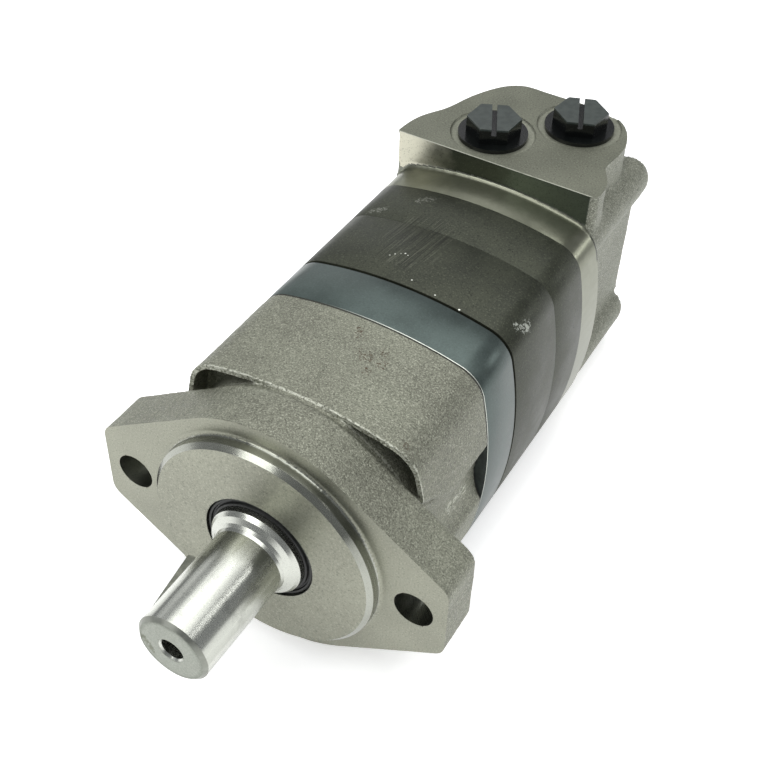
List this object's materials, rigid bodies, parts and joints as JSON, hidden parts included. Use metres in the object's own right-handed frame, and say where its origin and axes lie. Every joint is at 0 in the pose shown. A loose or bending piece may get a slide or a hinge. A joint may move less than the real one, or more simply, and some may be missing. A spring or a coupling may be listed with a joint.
{
  "type": "hydraulic motor",
  "caption": "Orbital hydraulic motor: two-bolt pilot flange and keyed straight shaft at one end, stacked square body, and a port block with plugged ports at the other.",
  "frame": {"origin": "centre of the mounting flange's front face, on the shaft axis, which is also the centre of the two flange holes", "axes": "+Y from the shaft end towards the rear of the motor along the shaft axis, +X along the line of the two flange holes, +Z towards the port face"},
  "size_m": [0.1292, 0.2621, 0.1095],
  "materials": {
    "cast_iron": "bare sand casting with machined faces",
    "valve_housing_iron": "bare casting with a machined port face",
    "valve_plate_iron": "dark ground iron",
    "ring_steel": "dark ground steel",
    "plate_steel": "smooth grey steel",
    "ground_steel": "ground and polished",
    "key_steel": "bright drawn",
    "bearing_steel": "ground",
    "cage_steel": "pressed sheet",
    "drive_steel": "machined",
    "spring_steel": "oiled",
    "bolt_steel": "black oxide",
    "plug_plastic": "glossy moulded black",
    "seal_rubber": "black nitrile"
  },
  "bodies": {
    "housing": {"bearing_housing": "cast_iron", "dust_seal": "seal_rubber", "shaft_seal": "seal_rubber", "seal_backup_washer": "bearing_steel", "thrust_race": "bearing_steel", "front_bearing_race": "bearing_steel", "bearing_spacer": "bearing_steel", "rear_bearing_race": "bearing_steel", "bearing_retaining_ring": "spring_steel", "wear_plate": "plate_steel", "body_seal_rings": "seal_rubber", "gerotor_ring": "ring_steel", "valve_plate": "valve_plate_iron", "balance_ring": "bearing_steel", "balance_ring_seals": "seal_rubber", "balance_springs": "spring_steel", "balance_ring_pins": "bearing_steel", "valve_housing": "valve_housing_iron", "assembly_bolts": "bolt_steel", "case_drain_plug": "bolt_steel", "case_drain_seal": "seal_rubber"},
    "shaft": {"output_shaft": "ground_steel"},
    "key": {"shaft_key": "key_steel"},
    "thrust_bearing_cage": {"thrust_cage": "cage_steel", "thrust_needles": "bearing_steel"},
    "front_cage": {"front_bearing_cage": "cage_steel", "front_bearing_rollers": "bearing_steel"},
    "rear_cage": {"rear_bearing_cage": "cage_steel", "rear_bearing_rollers": "bearing_steel"},
    "orbit": {"drive_spacer": "drive_steel"},
    "star": {"gerotor_star": "bearing_steel"},
    "main_drive": {"drive_link": "drive_steel"},
    "valve_link": {"valve_drive": "drive_steel"},
    "rotary_valve": {"disc_valve": "bearing_steel"},
    "plug_a": {"port_plug_a": "plug_plastic", "port_plug_seal_a": "seal_rubber"},
    "plug_b": {"port_plug_b": "plug_plastic", "port_plug_seal_b": "seal_rubber"},
    "roller_body_1": {"roller_1": "bearing_steel"},
    "roller_body_2": {"roller_2": "bearing_steel"},
    "roller_body_3": {"roller_3": "bearing_steel"},
    "roller_body_4": {"roller_4": "bearing_steel"},
    "roller_body_5": {"roller_5": "bearing_steel"},
    "roller_body_6": {"roller_6": "bearing_steel"},
    "roller_body_7": {"roller_7": "bearing_steel"},
    "roller_body_8": {"roller_8": "bearing_steel"},
    "roller_body_9": {"roller_9": "bearing_steel"}
  },
  "joints": [
    {"name": "shaft_spin", "type": "hinge", "parent": "housing", "child": "shaft", "pos_m": [0, 0, 0], "axis": [0, 1, 0], "continuous": true},
    {"name": "thrust_cage_spin", "type": "hinge", "parent": "housing", "child": "thrust_bearing_cage", "pos_m": [0, 0.0115, 0], "axis": [0, 1, 0], "continuous": true},
    {"name": "front_cage_spin", "type": "hinge", "parent": "housing", "child": "front_cage", "pos_m": [0, 0.0246, 0], "axis": [0, 1, 0], "continuous": true},
    {"name": "rear_cage_spin", "type": "hinge", "parent": "housing", "child": "rear_cage", "pos_m": [0, 0.05, 0], "axis": [0, 1, 0], "continuous": true},
    {"name": "star_orbit", "type": "hinge", "parent": "housing", "child": "orbit", "pos_m": [0, 0.098, 0], "axis": [0, 1, 0], "continuous": true},
    {"name": "star_spin", "type": "hinge", "parent": "orbit", "child": "star", "pos_m": [0, 0.099, 0.0032], "axis": [0, 1, 0], "continuous": true},
    {"name": "drive_link_spin", "type": "hinge", "parent": "orbit", "child": "main_drive", "pos_m": [0, 0.04, 0], "axis": [0, 0.998, 0.0626], "continuous": true},
    {"name": "valve_drive_spin", "type": "hinge", "parent": "orbit", "child": "valve_link", "pos_m": [0, 0.146, 0], "axis": [0, 0.9965, -0.0839], "continuous": true},
    {"name": "disc_valve_spin", "type": "hinge", "parent": "housing", "child": "rotary_valve", "pos_m": [0, 0.15, 0], "axis": [0, 1, 0], "continuous": true},
    {"name": "roller_1_spin", "type": "hinge", "parent": "housing", "child": "roller_body_1", "pos_m": [0, 0.099, 0.033], "axis": [0, 1, 0], "continuous": true},
    {"name": "roller_2_spin", "type": "hinge", "parent": "housing", "child": "roller_body_2", "pos_m": [-0.02121, 0.099, 0.02528], "axis": [0, 1, 0], "continuous": true},
    {"name": "roller_3_spin", "type": "hinge", "parent": "housing", "child": "roller_body_3", "pos_m": [-0.0325, 0.099, 0.00573], "axis": [0, 1, 0], "continuous": true},
    {"name": "roller_4_spin", "type": "hinge", "parent": "housing", "child": "roller_body_4", "pos_m": [-0.02858, 0.099, -0.0165], "axis": [0, 1, 0], "continuous": true},
    {"name": "roller_5_spin", "type": "hinge", "parent": "housing", "child": "roller_body_5", "pos_m": [-0.01129, 0.099, -0.03101], "axis": [0, 1, 0], "continuous": true},
    {"name": "roller_6_spin", "type": "hinge", "parent": "housing", "child": "roller_body_6", "pos_m": [0.01129, 0.099, -0.03101], "axis": [0, 1, 0], "continuous": true},
    {"name": "roller_7_spin", "type": "hinge", "parent": "housing", "child": "roller_body_7", "pos_m": [0.02858, 0.099, -0.0165], "axis": [0, 1, 0], "continuous": true},
    {"name": "roller_8_spin", "type": "hinge", "parent": "housing", "child": "roller_body_8", "pos_m": [0.0325, 0.099, 0.00573], "axis": [0, 1, 0], "continuous": true},
    {"name": "roller_9_spin", "type": "hinge", "parent": "housing", "child": "roller_body_9", "pos_m": [0.02121, 0.099, 0.02528], "axis": [0, 1, 0], "continuous": true},
    {"name": "key_rock", "type": "hinge", "parent": "shaft", "child": "key", "pos_m": [-0.01673, -0.031, -0.00386], "axis": [0.225, 0, -0.9744], "range_deg": [-3, 8.5]},
    {"name": "port_plug_a_out", "type": "slide", "parent": "housing", "child": "plug_a", "axis": [0, 0, 1], "range_m": [0, 0.022]},
    {"name": "port_plug_b_out", "type": "slide", "parent": "housing", "child": "plug_b", "axis": [0, 0, 1], "range_m": [0, 0.022]}
  ],
  "couplings": [
    {"joint": "thrust_cage_spin", "follows": "shaft_spin", "ratio": 0.5},
    {"joint": "front_cage_spin", "follows": "shaft_spin", "ratio": 0.426},
    {"joint": "rear_cage_spin", "follows": "shaft_spin", "ratio": 0.426},
    {"joint": "star_orbit", "follows": "shaft_spin", "ratio": -8},
    {"joint": "star_spin", "follows": "shaft_spin", "ratio": 9},
    {"joint": "drive_link_spin", "follows": "shaft_spin", "ratio": 9},
    {"joint": "valve_drive_spin", "follows": "shaft_spin", "ratio": 9},
    {"joint": "disc_valve_spin", "follows": "shaft_spin", "ratio": 1},
    {"joint": "roller_1_spin", "follows": "shaft_spin", "ratio": -5.2344},
    {"joint": "roller_2_spin", "follows": "shaft_spin", "ratio": -5.2344},
    {"joint": "roller_3_spin", "follows": "shaft_spin", "ratio": -5.2344},
    {"joint": "roller_4_spin", "follows": "shaft_spin", "ratio": -5.2344},
    {"joint": "roller_5_spin", "follows": "shaft_spin", "ratio": -5.2344},
    {"joint": "roller_6_spin", "follows": "shaft_spin", "ratio": -5.2344},
    {"joint": "roller_7_spin", "follows": "shaft_spin", "ratio": -5.2344},
    {"joint": "roller_8_spin", "follows": "shaft_spin", "ratio": -5.2344},
    {"joint": "roller_9_spin", "follows": "shaft_spin", "ratio": -5.2344}
  ]
}
